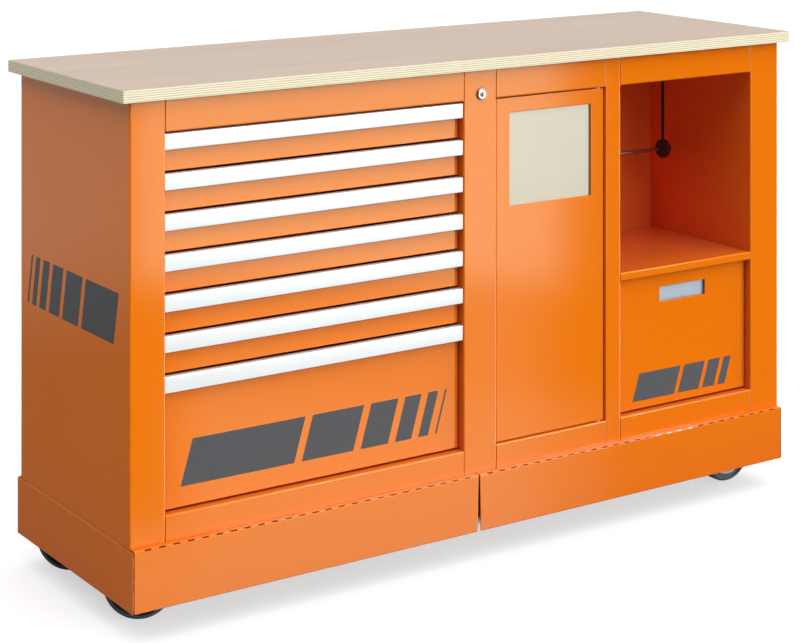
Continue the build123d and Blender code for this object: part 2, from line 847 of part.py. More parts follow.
def axle(axle_x, y):
    """The axle bolt, with a head on one side of the fork and a nut on the other."""
    outer = leg_gap + leg_thickness
    head_width, head_height = axle_head
    hexagon = RegularPolygon(head_width / 2, 6)
    bolt = rod_y(axle_x, (y - outer, y + outer), wheel_radius, axle_diameter)
    for near in (y - outer - head_height, y + outer):
        bolt += along_y(Pos(axle_x, wheel_radius) * hexagon, (near, near + head_height))
    return bolt


race_play = 0.05
race_height = 9.0
race_diameter = 56.0
crown_thickness = 4.0
crown_top = plate_under - race_height - race_play
crown_bottom = crown_top - crown_thickness
kingpin_head = (26.0, 5.0)


def swivel_mount(x, y):
    """Top plate, ball race and kingpin: what a swivel fork hangs from."""
    head_width, head_height = kingpin_head
    head_bottom = crown_bottom - head_height
    mount = top_plate(x, y)
    mount += rod_z(x, y, (crown_top + race_play, plate_under), race_diameter)
    mount += rod_z(x, y, (head_bottom, plate_under), kingpin_diameter)
    return mount + rod_z(x, y, (head_bottom, crown_bottom - race_play), head_width)


def swivel_fork(x, y):
    """The pressed fork that turns about the kingpin, with the wheel trailing behind it."""
    half_width = leg_gap + leg_thickness
    crown = rod_z(x, y, (crown_bottom, crown_top), race_diameter)
    crown_x = (x - leg_shoulder, x + leg_shoulder)
    crown += block(crown_x, (y - half_width, y + half_width), (crown_bottom, crown_top))
    fork = crown + fork_legs(x, y, x - castor_trail, crown_top)
    return fork - rod_z(x, y, (crown_bottom - 1, crown_top + 1), kingpin_diameter + play)


def fixed_fork(x, y):
    return top_plate(x, y) + fork_legs(x, y, x, plate_under)


def wheel(axle_x, y):
    """A castor wheel: a dished centre with its tread bonded on, running on the axle."""
    half_width = wheel_width / 2
    hub_radius = 14.0
    rim_radius = 47.0
    dish = 8.0
    one_side = [
        (axle_diameter / 2 + play / 2, half_width),
        (hub_radius, half_width),
        (hub_radius + 3, half_width - dish),
        (rim_radius - 4, half_width - dish),
        (rim_radius, half_width - 1),
        (wheel_radius - 8, half_width - 1),
        (wheel_radius - 2, half_width - 6),
        (wheel_radius, half_width - 12),
    ]
    other_side = [(radius, -across) for radius, across in reversed(one_side)]
    profile = Polyline(*one_side, *other_side, close=True)
    return Pos(axle_x, y, wheel_radius) * revolve(make_face(profile), Axis.Y)


def turned(solid, y):
    """A swivel castor's piece, turned about the kingpin to where it rests."""
    return Pos(swivel_x, y) * Rot(0, 0, castor_rest_turn) * Pos(-swivel_x, -y) * solid


save("swivel_castor_mounts", *[swivel_mount(swivel_x, y) for y in swivel_y])
trailing_x = swivel_x - castor_trail
for place, y in zip(("front", "rear"), swivel_y):
    save(f"{place}_swivel_fork", turned(swivel_fork(swivel_x, y), y), turned(axle(trailing_x, y), y))
    save(f"{place}_left_wheel", turned(wheel(trailing_x, y), y))
fixed_castors = []
for place, y in zip(("front", "rear"), fixed_y):
    save(f"{place}_right_wheel", wheel(fixed_x, y))
    fixed_castors += [fixed_fork(fixed_x, y), axle(fixed_x, y)]
save("fixed_castor_forks", *fixed_castors)

castor_places = [(swivel_x, y) for y in swivel_y] + [(fixed_x, y) for y in fixed_y]
castor_bolts = [hole for place in castor_places for hole in plate_bolts(*place)]
skirt_bolts = bolts_left + bolts_right + bolts_back + bolts_side
bolts = [base_bolt(x, y, plate_under) for x, y in castor_bolts]
bolts += [base_bolt(x, y, skirt_under) for x, y in skirt_bolts]
save("base_bolts", *bolts)

floor_pan = inside_of_carcass((left + sheet, right - sheet), (body_bottom, floor_top))
save("floor_pan", drilled(floor_pan, castor_bolts + skirt_bolts, bolt_diameter,
                          (body_bottom - 1, floor_top + 1)))

os.makedirs("parts", exist_ok=True)
for name, shape in parts.items():
    export_step(shape, f"parts/{name}.step")
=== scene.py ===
import json
import math

import bmesh
import bpy
from mathutils import Matrix, Vector


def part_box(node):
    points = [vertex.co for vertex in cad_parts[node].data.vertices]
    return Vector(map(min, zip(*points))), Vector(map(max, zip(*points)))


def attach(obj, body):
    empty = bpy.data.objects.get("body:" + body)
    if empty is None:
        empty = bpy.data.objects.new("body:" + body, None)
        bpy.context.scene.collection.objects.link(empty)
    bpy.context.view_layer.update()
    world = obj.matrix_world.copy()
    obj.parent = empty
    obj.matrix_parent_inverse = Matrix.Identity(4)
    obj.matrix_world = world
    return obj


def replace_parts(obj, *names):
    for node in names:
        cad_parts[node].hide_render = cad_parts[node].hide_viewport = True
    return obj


# A mobile workshop cabinet in orange powder coat, with a plywood worktop. Metres, in the frame's own
# axes: +X runs along the front to the right, -Y is the front, +Z is up.

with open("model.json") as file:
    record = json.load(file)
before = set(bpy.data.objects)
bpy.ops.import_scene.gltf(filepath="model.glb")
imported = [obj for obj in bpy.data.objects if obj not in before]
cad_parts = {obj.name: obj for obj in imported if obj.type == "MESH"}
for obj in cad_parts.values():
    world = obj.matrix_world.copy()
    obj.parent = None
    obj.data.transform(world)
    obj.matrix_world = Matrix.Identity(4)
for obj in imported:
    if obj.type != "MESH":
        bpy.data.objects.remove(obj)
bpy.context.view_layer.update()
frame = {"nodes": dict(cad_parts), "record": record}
nodes = frame["nodes"]
slot_of = {entry["node"]: entry["material_slot"] for entry in frame["record"]["subparts"]}

MM = 0.001


# ---------------------------------------------------------------- measures taken from the frame

body_low, body_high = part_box("left_side_panel")[0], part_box("right_side_panel")[1]
body_left, body_right = body_low.x, body_high.x
body_front, body_back = body_low.y, body_high.y
body_bottom = body_low.z
body_width = body_right - body_left
worktop_low, worktop_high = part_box("worktop")


# ---------------------------------------------------------------- shader building blocks

class Shader:
    """A node tree under construction: add() makes a node and feeds its inputs."""

    def __init__(self, owner, output_kind):
        owner.use_nodes = True
        self.tree = owner.node_tree
        self.tree.nodes.clear()
        self.output = self.tree.nodes.new(output_kind)
        self.place = self.add("ShaderNodeTexCoord").outputs["Object"]

    def add(self, kind, settings=None, **inputs):
        made = self.tree.nodes.new(kind)
        for name, value in (settings or {}).items():
            setattr(made, name, value)
        for name, value in inputs.items():
            self.feed(made.inputs[name.replace("_", " ")], value)
        return made

    def feed(self, socket, value):
        """Links a node's output to a socket, or sets the socket to a plain value."""
        if isinstance(value, bpy.types.NodeSocket):
            self.tree.links.new(value, socket)
        else:
            socket.default_value = value

    def show(self, shader):
        """Ends the tree: this shader is what the owner shows."""
        self.tree.links.new(shader, self.output.inputs["Surface"])

    def math(self, operation, first, second=0.0):
        made = self.add("ShaderNodeMath", {"operation": operation})
        self.feed(made.inputs[0], first)
        self.feed(made.inputs[1], second)
        return made.outputs[0]

    def axes(self, vector):
        """The X, Y and Z outputs of a vector."""
        return self.add("ShaderNodeSeparateXYZ", Vector=vector).outputs

    def scaled(self, scale):
        """Object coordinates stretched per axis, in repeats per metre."""
        made = self.add("ShaderNodeMapping", Vector=self.place, Scale=scale)
        return made.outputs["Vector"]

    def noise(self, scale, detail=3.0, roughness=0.5):
        made = self.add("ShaderNodeTexNoise", Vector=self.scaled(scale), Scale=1.0,
                        Detail=detail, Roughness=roughness)
        return made.outputs["Fac"]

    def remap(self, value, low, high):
        """A 0 to 1 value spread between low and high."""
        made = self.add("ShaderNodeMapRange", Value=value, To_Min=low, To_Max=high)
        return made.outputs["Result"]

    def blend(self, share, first, second):
        """Two colours mixed; share is how much of the second shows."""
        made = self.add("ShaderNodeMix", {"data_type": "RGBA"})
        colour_a, colour_b, colour_out = made.inputs[6], made.inputs[7], made.outputs[2]
        self.feed(made.inputs["Factor"], share)
        self.feed(colour_a, first)
        self.feed(colour_b, second)
        return colour_out

    def ramp(self, value, stops):
        """A colour ramp through (position, colour) stops."""
        made = self.add("ShaderNodeValToRGB", Fac=value)
        elements = made.color_ramp.elements
        while len(elements) < len(stops):
            elements.new(0.5)
        for element, (position, colour) in zip(elements, stops):
            element.position = position
            element.color = colour
        return made.outputs["Color"]

    def rounded(self, radius):
        """Normals that soften every sharp edge by a small radius."""
        made = self.add("ShaderNodeBevel", {"samples": 6}, Radius=radius)
        return made.outputs["Normal"]

    def bump(self, height, strength, distance, normal):
        made = self.add("ShaderNodeBump", Height=height, Strength=strength, Distance=distance,
                        Normal=normal)
        return made.outputs["Normal"]

    def window(self, value, low, high, soft):
        """One between two limits and zero outside them, with soft edges."""
        rise = self.add("ShaderNodeMapRange", {"interpolation_type": "SMOOTHSTEP"}, Value=value,
                        From_Min=low - soft, From_Max=low + soft)
        fall = self.add("ShaderNodeMapRange", {"interpolation_type": "SMOOTHSTEP"}, Value=value,
                        From_Min=high - soft, From_Max=high + soft, To_Min=1.0, To_Max=0.0)
        return self.math("MULTIPLY", rise.outputs["Result"], fall.outputs["Result"])

    def mix_of(self, share, first, second):
        """Two shaders mixed; share is how much of the second shows."""
        made = self.add("ShaderNodeMixShader")
        for socket, value in zip(made.inputs, (share, first, second)):
            self.feed(socket, value)
        return made.outputs[0]

    def sum_of(self, first, second):
        """Two shaders added together."""
        made = self.add("ShaderNodeAddShader")
        self.feed(made.inputs[0], first)
        self.feed(made.inputs[1], second)
        return made.outputs[0]


class Paint(Shader):
    """A surface material; surface() ends it with a principled shader."""

    def __init__(self, name):
        self.material = bpy.data.materials.new(name)
        super().__init__(self.material, "ShaderNodeOutputMaterial")

    def surface(self, **inputs):
        self.show(self.add("ShaderNodeBsdfPrincipled", **inputs).outputs["BSDF"])
        return self.material


def colour(red, green, blue):
    """A linear colour, opaque."""
    return (red, green, blue, 1.0)


def grey(level):
    return colour(level, level, level)


def even(repeats):
    """The same number of repeats per metre on all three axes."""
    return (repeats, repeats, repeats)


# ---------------------------------------------------------------- materials

def orange_paint():
    """Glossy powder coat with faint orange peel. Its colour is painted redder where an occlusion node finds
    hollows, standing in for paint lighting paint: a bright red in narrow gaps for bounced light, a darker red
    in bays for shade.
    """
    s = Paint("orange_paint")
    outside = s.blend(s.noise(even(2.5), 2.0), colour(0.87, 0.188, 0.0015), colour(0.91, 0.205, 0.002))
    openness = s.add("ShaderNodeAmbientOcclusion", {"samples": 4}, Distance=0.6).outputs["AO"]
    # Painted light and shade: the bright red fills narrow gaps as bounced light, the darker red fills deeper
    # bays as shade.
    gap, bay_painted_shade = colour(0.98, 0.17, 0.05), colour(0.64, 0.118, 0.040)
    painted_hollow_shade = s.ramp(openness, [(0.06, gap), (0.25, bay_painted_shade)])
    in_the_open = s.ramp(openness, [(0.05, grey(0)), (0.66, grey(1))])
    peel = s.noise(even(260), 2.0, 0.45)
    gloss = s.remap(s.noise(even(35), 3.0), 0.05, 0.08)
    normal = s.bump(peel, 0.04, 0.2 * MM, s.rounded(2.0 * MM))
    return s.surface(Base_Color=s.blend(in_the_open, painted_hollow_shade, outside), Roughness=gloss, Normal=normal,
                     IOR=1.5, Specular_Tint=colour(0.55, 1.0, 0.74))


def ply_edge(s):
    """The colour of the worktop's edge: long-grain and end-grain plies, laid in turn."""
    plies = 11
    ply = (worktop_high.z - worktop_low.z) / plies
    layer = s.math("DIVIDE", s.math("SUBTRACT", s.axes(s.place)["Z"], worktop_low.z), ply)
    wander = s.math("MULTIPLY", s.noise((4, 4, 0), 3.0), 0.9)
    pair = s.math("FRACT", s.math("MULTIPLY", s.math("ADD", layer, wander), 0.5))
    end_grain = s.ramp(pair, [(0.0, grey(0)), (0.52, grey(0)), (0.60, grey(1)),
                              (0.92, grey(1)), (1.0, grey(0))])
    fibre = s.noise((35, 35, 700), 4.0, 0.7)
    long_ply = s.blend(fibre, colour(0.92, 0.85, 0.60), colour(0.98, 0.93, 0.74))
    end_ply = s.blend(fibre, colour(0.42, 0.33, 0.17), colour(0.90, 0.82, 0.56))
    return s.blend(end_grain, long_ply, end_ply)


def plywood():
    """Birch plywood: a pale face with long grain and fine pores, and edges that show the plies."""
    s = Paint("plywood")
    figure = s.noise((1.1, 16, 4), 4.0, 0.6)
    pores = s.noise((14, 520, 20), 3.0, 0.7)
    face = s.blend(figure, colour(0.45, 0.36, 0.295), colour(0.54, 0.445, 0.38))
    face = s.blend(s.math("MULTIPLY", pores, 0.35), face, colour(0.38, 0.29, 0.225))
    upright = s.axes(s.add("ShaderNodeNewGeometry").outputs["Normal"])["Z"]
    is_face = s.math("GREATER_THAN", s.math("ABSOLUTE", upright), 0.7)
    normal = s.bump(pores, 0.12, 0.15 * MM, s.rounded(1.0 * MM))
    return s.surface(Base_Color=s.blend(is_face, ply_edge(s), face), Roughness=s.remap(figure, 0.42, 0.54),
                     Normal=normal, Specular_IOR_Level=0.35)


def brushed(name, low, high, roughness, along, metallic=1.0):
    """Metal with fine lines along one axis: 0 for X, 1 for Y, 2 for Z; less metallic when anodised."""
    s = Paint(name)
    scale = [1500.0, 1500.0, 1500.0]
    scale[along] = 12.0
    lines = s.noise(tuple(scale), 3.0, 0.6)
    tone = s.blend(s.noise(even(9), 2.0), low, high)
    rough = s.math("ADD", s.remap(lines, -0.05, 0.05), roughness)
    normal = s.bump(lines, 0.06, 0.05 * MM, s.rounded(0.4 * MM))
    return s.surface(Base_Color=tone, Metallic=metallic, Roughness=rough, Normal=normal, Anisotropic=0.4)


def plated():
    """Zinc-plated pressings: cool grey with a faint crystalline mottle."""
    s = Paint("zinc_steel")
    spangle = s.add("ShaderNodeTexVoronoi", Vector=s.scaled(even(160)), Scale=1.0).outputs["Distance"]
    tone = s.blend(spangle, colour(0.60, 0.62, 0.64), colour(0.70, 0.71, 0.72))
    rough = s.remap(s.noise(even(60), 3.0), 0.26, 0.42)
    return s.surface(Base_Color=tone, Metallic=1.0, Roughness=rough, Normal=s.rounded(0.5 * MM))


def polished():
    """Nickel-chrome plate with faint handling marks."""
    s = Paint("chrome")
    rough = s.remap(s.noise(even(90), 4.0, 0.7), 0.06, 0.16)
    return s.surface(Base_Color=colour(0.78, 0.78, 0.77), Metallic=1.0, Roughness=rough,
                     Normal=s.rounded(0.3 * MM))


def dark_bar():
    """Dark polished steel bar, a little rubbed."""
    s = Paint("dark_steel")
    rub = s.noise((40, 300, 300), 4.0, 0.6)
    tone = s.blend(rub, colour(0.22, 0.19, 0.185), colour(0.42, 0.37, 0.36))
    return s.surface(Base_Color=tone, Metallic=0.9, Roughness=s.remap(rub, 0.12, 0.22), IOR=1.9,
                     Normal=s.rounded(0.3 * MM))


def black_paint():
    """Satin black enamel with a fine speck in its surface."""
    s = Paint("black_paint")
    speck = s.noise(even(700), 2.0)
    tone = s.blend(s.noise(even(20), 2.0), colour(0.012, 0.012, 0.013), colour(0.022, 0.021, 0.020))
    normal = s.bump(speck, 0.15, 0.1 * MM, s.rounded(0.4 * MM))
    return s.surface(Base_Color=tone, Roughness=0.38, Normal=normal)


def moulded_plastic(name, low, high, roughness):
    """Moulded plastic with a fine spark-eroded grain."""
    s = Paint(name)
    tone = s.blend(s.noise(even(14), 2.0), low, high)
    normal = s.bump(s.noise(even(900), 2.0), 0.25, 0.12 * MM, s.rounded(0.6 * MM))
    rough = s.remap(s.noise(even(120), 2.0), roughness - 0.05, roughness + 0.07)
    return s.surface(Base_Color=tone, Roughness=rough, Normal=normal)


def tyre_rubber():
    """Grey castor rubber, with dust in its tone and roughness."""
    s = Paint("castor_tyre")
    dust = s.noise(even(70), 4.0, 0.65)
    tone = s.blend(dust, colour(0.095, 0.130, 0.155), colour(0.150, 0.190, 0.215))
    normal = s.bump(s.noise(even(500), 3.0), 0.3, 0.2 * MM, s.rounded(0.5 * MM))
    return s.surface(Base_Color=tone, Roughness=s.remap(dust, 0.42, 0.60), Normal=normal)


def vinyl():
    """Slate-grey film for the plain striped graphics."""
    s = Paint("slate_vinyl")
    tone = s.blend(s.noise(even(30), 2.0), colour(0.062, 0.064, 0.072), colour(0.074, 0.076, 0.084))
    normal = s.bump(s.noise(even(300), 2.0), 0.08, 0.1 * MM, s.rounded(0.1 * MM))
    return s.surface(Base_Color=tone, Roughness=0.36, Normal=normal)


along_x, along_y = 0, 1
finishes = {
    "orange_paint": orange_paint(),
    "plywood": plywood(),
    "satin_aluminium": brushed("satin_aluminium", colour(0.86, 0.90, 0.91), colour(0.91, 0.95, 0.955),
                               0.30, along_x, 0.5),
    "zinc_steel": plated(),
    "bare_steel": brushed("bare_steel", colour(0.60, 0.555, 0.43), colour(0.66, 0.615, 0.485),
                          0.30, along_x, 0.5),
    "chrome": polished(),
    "black_paint": black_paint(),
    "black_plastic": moulded_plastic("black_plastic", colour(0.016, 0.017, 0.018),
                                     colour(0.028, 0.029, 0.031), 0.45),
    "castor_tyre": tyre_rubber(),
}
slate_vinyl = vinyl()
white_nylon = moulded_plastic("white_nylon", colour(0.66, 0.67, 0.66), colour(0.76, 0.77, 0.75), 0.35)
dark_steel = dark_bar()
blue_steel = brushed("blue_steel", colour(0.42, 0.52, 0.60), colour(0.48, 0.58, 0.66), 0.34, along_x, 0.4)
lock_nickel = brushed("lock_nickel", colour(0.46, 0.39, 0.27), colour(0.54, 0.47, 0.34), 0.28, along_y)


def dress(piece, material):
    piece.data.materials.clear()
    piece.data.materials.append(material)


for name, piece in nodes.items():
    dress(piece, finishes[slot_of[name]])
dress(nodes["roll_spindle"], dark_steel)
dress(nodes["lower_drawer_grip"], blue_steel)


# ---------------------------------------------------------------- mesh building blocks

def finish_mesh(mesh, name, material, body, smooth_angle=35):
    """Turns a bmesh into a piece that rides on a body."""
    bmesh.ops.recalc_face_normals(mesh, faces=mesh.faces)
    data = bpy.data.meshes.new(name)
    mesh.to_mesh(data)
    mesh.free()
    data.shade_smooth()
    data.set_sharp_from_angle(angle=math.radians(smooth_angle))
    piece = bpy.data.objects.new(name, data)
    bpy.context.scene.collection.objects.link(piece)
    data.materials.append(material)
    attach(piece, body)
    return piece


def lathe(profile, centre, axis, segments=96):
    """A solid of revolution about a level axis through centre; profile is (radius, along) points."""
    across = Vector((axis.y, -axis.x, 0))
    mesh = bmesh.new()
    rings = []
    for step in range(segments):
        turn = 2 * math.pi * step / segments
        outward = across * math.cos(turn) + Vector((0, 0, math.sin(turn)))
        rings.append([mesh.verts.new(centre + axis * along + outward * radius) for radius, along in profile])
    count = len(profile)
    for step in range(segments):
        here, there = rings[step], rings[(step + 1) % segments]
        for i in range(count):
            j = (i + 1) % count
            mesh.faces.new((here[i], here[j], there[j], there[i]))
    return mesh


def prism_x(outline, x):
    """A solid with a (y, z) outline, running between two X limits."""
    mesh = bmesh.new()
    ends = [[mesh.verts.new((end, y, z)) for y, z in outline] for end in x]
    count = len(outline)
    for i in range(count):
        j = (i + 1) % count
        mesh.faces.new((ends[0][i], ends[0][j], ends[1][j], ends[1][i]))
    mesh.faces.new(ends[0])
    mesh.faces.new(list(reversed(ends[1])))
    return mesh


def add_slab(mesh, corners, offset):
    """A thin closed slab between four corners and their copies moved by offset."""
    base = [mesh.verts.new(corner) for corner in corners]
    cap = [mesh.verts.new(Vector(corner) + Vector(offset)) for corner in corners]
    mesh.faces.new(base)
    mesh.faces.new(list(reversed(cap)))
    for i in range(4):
        j = (i + 1) % 4
        mesh.faces.new((base[i], cap[i], cap[j], base[j]))


def arc(centre, radius, start, end, steps):
    """Points along a circle arc, angles in degrees."""
    turns = [math.radians(start + (end - start) * i / steps) for i in range(steps + 1)]
    return [(centre[0] + radius * math.cos(t), centre[1] + radius * math.sin(t)) for t in turns]


# ---------------------------------------------------------------- handle strips

strip_wall = 2.0 * MM
strip_bow = 0.15 * MM
strip_leg = 16.0 * MM
strip_nose = 3.0 * MM
strip_edge = 0.6 * MM
inner_corner = 1.0 * MM


def bowed_face(face_y, bow, low, high, steps=14):
    """The strip's front face as a shallow arc, from bottom to top."""
    points = []
    for i in range(steps + 1):
        share = i / steps
        lift = bow * (1 - (2 * share - 1) ** 2)
        points.append((face_y - lift, low + (high - low) * share))
    return points


def strip_outline(face, rear, bottom, top):
    """The (y, z) section: bowed face, top wall and rear leg, every corner rounded."""
    wall, edge, inner = strip_wall, strip_edge, inner_corner
    leg_end = top - strip_leg
    outline = bowed_face(face, strip_bow, bottom + edge, top - strip_nose)
    outline += arc((face + strip_nose, top - strip_nose), strip_nose, 180, 90, 8)[1:]
    outline += arc((rear - edge, top - edge), edge, 90, 0, 4)
    outline += arc((rear - edge, leg_end + edge), edge, 0, -90, 4)
    outline += arc((rear - wall + edge, leg_end + edge), edge, -90, -180, 4)
    outline += arc((rear - wall - inner, top - wall - inner), inner, 0, 90, 4)
    outline += arc((face + wall + inner, top - wall - inner), inner, 90, 180, 4)
    outline += arc((face + wall - edge, bottom + edge), edge, 0, -90, 4)
    outline += arc((face + edge, bottom + edge), edge, -90, -180, 4)[:-1]
    return outline


def handle_strip(number):
    """An extruded aluminium handle in the box of the drawer's own handle."""
    node = f"drawer_{number}_handle"
    low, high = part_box(node)
    mesh = prism_x(strip_outline(low.y + strip_bow, high.y, low.z, high.z), (low.x, high.x))
    piece = finish_mesh(mesh, f"handle_strip_{number}", finishes["satin_aluminium"],
                        f"drawer_{number}", 25)
    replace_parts(piece, node)


for number in range(1, 8):
    handle_strip(number)


# ---------------------------------------------------------------- castor wheels

wheel_half_width = 18 * MM
axle_bore = 6.05 * MM
bead_share, rim_share = 0.88, 0.75


def mirrored(side):
    """A profile closed by its own mirror image across the wheel's middle plane."""
    return side + [(radius, -along) for radius, along in reversed(side)]


def tread_profile(radius, inner, half_width):
    """A rounded tread on a raised ring, from its inner edge to the middle of the crown."""
    shoulder = 8 * MM
    side = [(inner, -half_width + 3 * MM), (inner + 2 * MM, -half_width + 1 * MM)]
    side += arc((radius - shoulder, -half_width + shoulder), shoulder, 270, 350, 8)
    return mirrored(side + [(radius, -half_width + 2 * shoulder)])


def bead_profile(radius, inner, half_width):
    """The dark tyre bead between tread and hub, dished below both."""
    dish, step = -half_width + 5 * MM, 2 * MM
    return mirrored([
        (inner, dish + 1 * MM), (inner + step, dish), (radius - step, dish), (radius, dish - 1 * MM),
    ])


def hub_profile(bore, rim, half_width):
    """A nylon centre: a boss for the bearing, a thin web and a rim."""
    face, web = -half_width, -half_width + 9 * MM
    boss = bore + 8 * MM
    rim_face = face + 2.5 * MM
    return mirrored([
        (bore, face), (boss, face), (boss + 1.5 * MM, face + 1.5 * MM), (boss + 3 * MM, web),
        (rim - 7 * MM, web), (rim - 5 * MM, face + 4 * MM), (rim - 3.5 * MM, rim_face), (rim, rim_face),
    ])


def wheel_axis(place):
    """The level direction of a wheel's axle, from the frame's own joint."""
    axes = {joint["name"]: joint["axis"] for joint in frame["record"]["behaviour"]["joints"]}
    return Vector(axes[f"{place}_wheel_spin"]).normalized()


def castor_wheel(place):
    """Tread, bead and hub in the box of the wheel's own node."""
    node = f"{place}_wheel"
    low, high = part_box(node)
    centre = (low + high) / 2
    axis = wheel_axis(place)
    radius = (high.z - low.z) / 2
    bead, rim = radius * bead_share, radius * rim_share
    tread = lathe(tread_profile(radius, bead, wheel_half_width - 1 * MM), centre, axis)
    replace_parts(finish_mesh(tread, f"{place}_tread", finishes["castor_tyre"], node), node)
    tyre = lathe(bead_profile(bead, rim, wheel_half_width), centre, axis)
    finish_mesh(tyre, f"{place}_tyre_bead", finishes["black_plastic"], node)
    hub = lathe(hub_profile(axle_bore, rim, wheel_half_width - 0.5 * MM), centre, axis)
    finish_mesh(hub, f"{place}_hub", white_nylon, node)


for place in ("front_left", "rear_left", "front_right", "rear_right"):
    castor_wheel(place)


# ---------------------------------------------------------------- lock

barrel_low, barrel_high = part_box("lock_barrel")
lock_radius = (barrel_high.x - barrel_low.x) / 2
lock_front = Vector(((barrel_low.x + barrel_high.x) / 2, barrel_low.y, (barrel_low.z + barrel_high.z) / 2))
towards_front = Vector((0, -1, 0))


def lock_ring():
    """A raised lip round the key plug, with a groove and a soft outer edge."""
    profile = [(0.62, -0.8), (0.66, 0.5), (0.72, 0.9), (0.80, 0.2), (0.90, 0.3), (0.97, -0.3), (0.98, -0.8)]
    points = [(lock_radius * share, height * MM) for share, height in profile]
    ring = lathe(points, lock_front, towards_front, 64)
    finish_mesh(ring, "lock_ring", lock_nickel, "cabinet")


def lock_notch_shade_beads():
    """Small black beads in the ring's groove: painted shade in place of the lock's shaded notches."""
    mesh = bmesh.new()
    # Painted shade: black beads stand where the notches would be dark from shade.
    count, bead_radius, circle = 14, 0.8 * MM, lock_radius * 0.84
    for step in range(count):
        turn = 2 * math.pi * step / count
        place = lock_front + Vector((math.cos(turn), 0, math.sin(turn))) * circle
        bmesh.ops.create_icosphere(mesh, subdivisions=2, radius=bead_radius, matrix=Matrix.Translation(place))
    finish_mesh(mesh, "lock_notch_shade_beads", finishes["black_paint"], "cabinet", 60)


def lock_plug_cap():
    """The key plug's turned face, set a little below the lip."""
    centre_hole, foot, top = 0.01 * MM, -0.6 * MM, -0.15 * MM
    profile = [(centre_hole, foot), (centre_hole, top), (lock_radius * 0.50, top), (lock_radius * 0.56, foot)]
    cap = lathe(profile, lock_front, towards_front, 48)
    finish_mesh(cap, "lock_plug_cap", lock_nickel, "lock_plug")


def painted_keyway_shade():
    """The upright key slot, as a thin black slab against the plug's face: painted shade in place of the hole.
    """
    half_width, reach = 1.0 * MM, lock_radius * 0.36
    depth, thickness = 0.16 * MM, 0.05 * MM
    x, y, z = lock_front.x, lock_front.y - depth, lock_front.z
    corners = [(x - half_width, y, z - reach), (x + half_width, y, z - reach),
               (x + half_width, y, z + reach), (x - half_width, y, z + reach)]
    mesh = bmesh.new()
    add_slab(mesh, corners, (0, -thickness, 0))
    finish_mesh(mesh, "painted_keyway_shade", finishes["black_paint"], "lock_plug")


lock_ring()
lock_notch_shade_beads()
lock_plug_cap()
painted_keyway_shade()


# ---------------------------------------------------------------- plain graphics

film = 0.12 * MM


def bar_on_front(mesh, x, y, z, lean):
    """A leaning bar of film on a surface that faces -Y."""
    corners = [(x[0], z[0]), (x[1], z[0]), (x[1] + lean, z[1]), (x[0] + lean, z[1])]
    add_slab(mesh, [(a, y, b) for a, b in corners], (0, -film, 0))


def bar_on_side(mesh, y, x, z, lean):
    """A leaning bar of film on a surface that faces -X."""
    corners = [(y[0], z[0]), (y[1], z[0]), (y[1] + lean, z[1]), (y[0] + lean, z[1])]
    add_slab(mesh, [(x, a, b) for a, b in corners], (-film, 0, 0))


def stripe_rhythm(start, end, widths, gap):
    """Limits of bars laid one after another until the end is reached; the last width repeats."""
    bars, at = [], start
    while at < end - 1 * MM:
        width = widths[min(len(bars), len(widths) - 1)]
        bars.append((at, min(at + width, end)))
        at += width + gap
    return bars


def side_graphic():
    """Leaning slate bars on the left side panel, narrowing towards the back."""
    mesh = bmesh.new()
    height = (body_bottom + 0.338, body_bottom + 0.430)
    for near, far in stripe_rhythm(0.062, 0.425, [0.130, 0.066, 0.044, 0.028, 0.018], 0.014):
        bar_on_side(mesh, (body_front + near, body_front + far), body_left, height, -0.020)
    finish_mesh(mesh, "side_graphic", slate_vinyl, "cabinet")


def drawer_graphic(body, node, x, z, widths, gap, lean):
    """Leaning slate bars on a drawer's front; x is from the body's left, z from its bottom."""
    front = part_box(node)[0].y
    height = (body_bottom + z[0], body_bottom + z[1])
    mesh = bmesh.new()
    for near, far in stripe_rhythm(x[0], x[1], widths, gap):
        bar_on_front(mesh, (body_left + near, body_left + far), front, height, lean)
    finish_mesh(mesh, f"{body}_graphic", slate_vinyl, body)


side_graphic()
drawer_graphic("drawer_7", "drawer_7_tray", (0.106, 0.648), (0.085, 0.165),
               [0.230, 0.110, 0.060, 0.036, 0.022, 0.014], 0.016, 0.024)
drawer_graphic("lower_drawer", "lower_drawer_box", (1.127, 1.385), (0.065, 0.120),
               [0.110, 0.056, 0.032, 0.020, 0.012], 0.010, 0.018)


# ---------------------------------------------------------------- studio

floor_reach = 40.0
floor_lift = 0.55


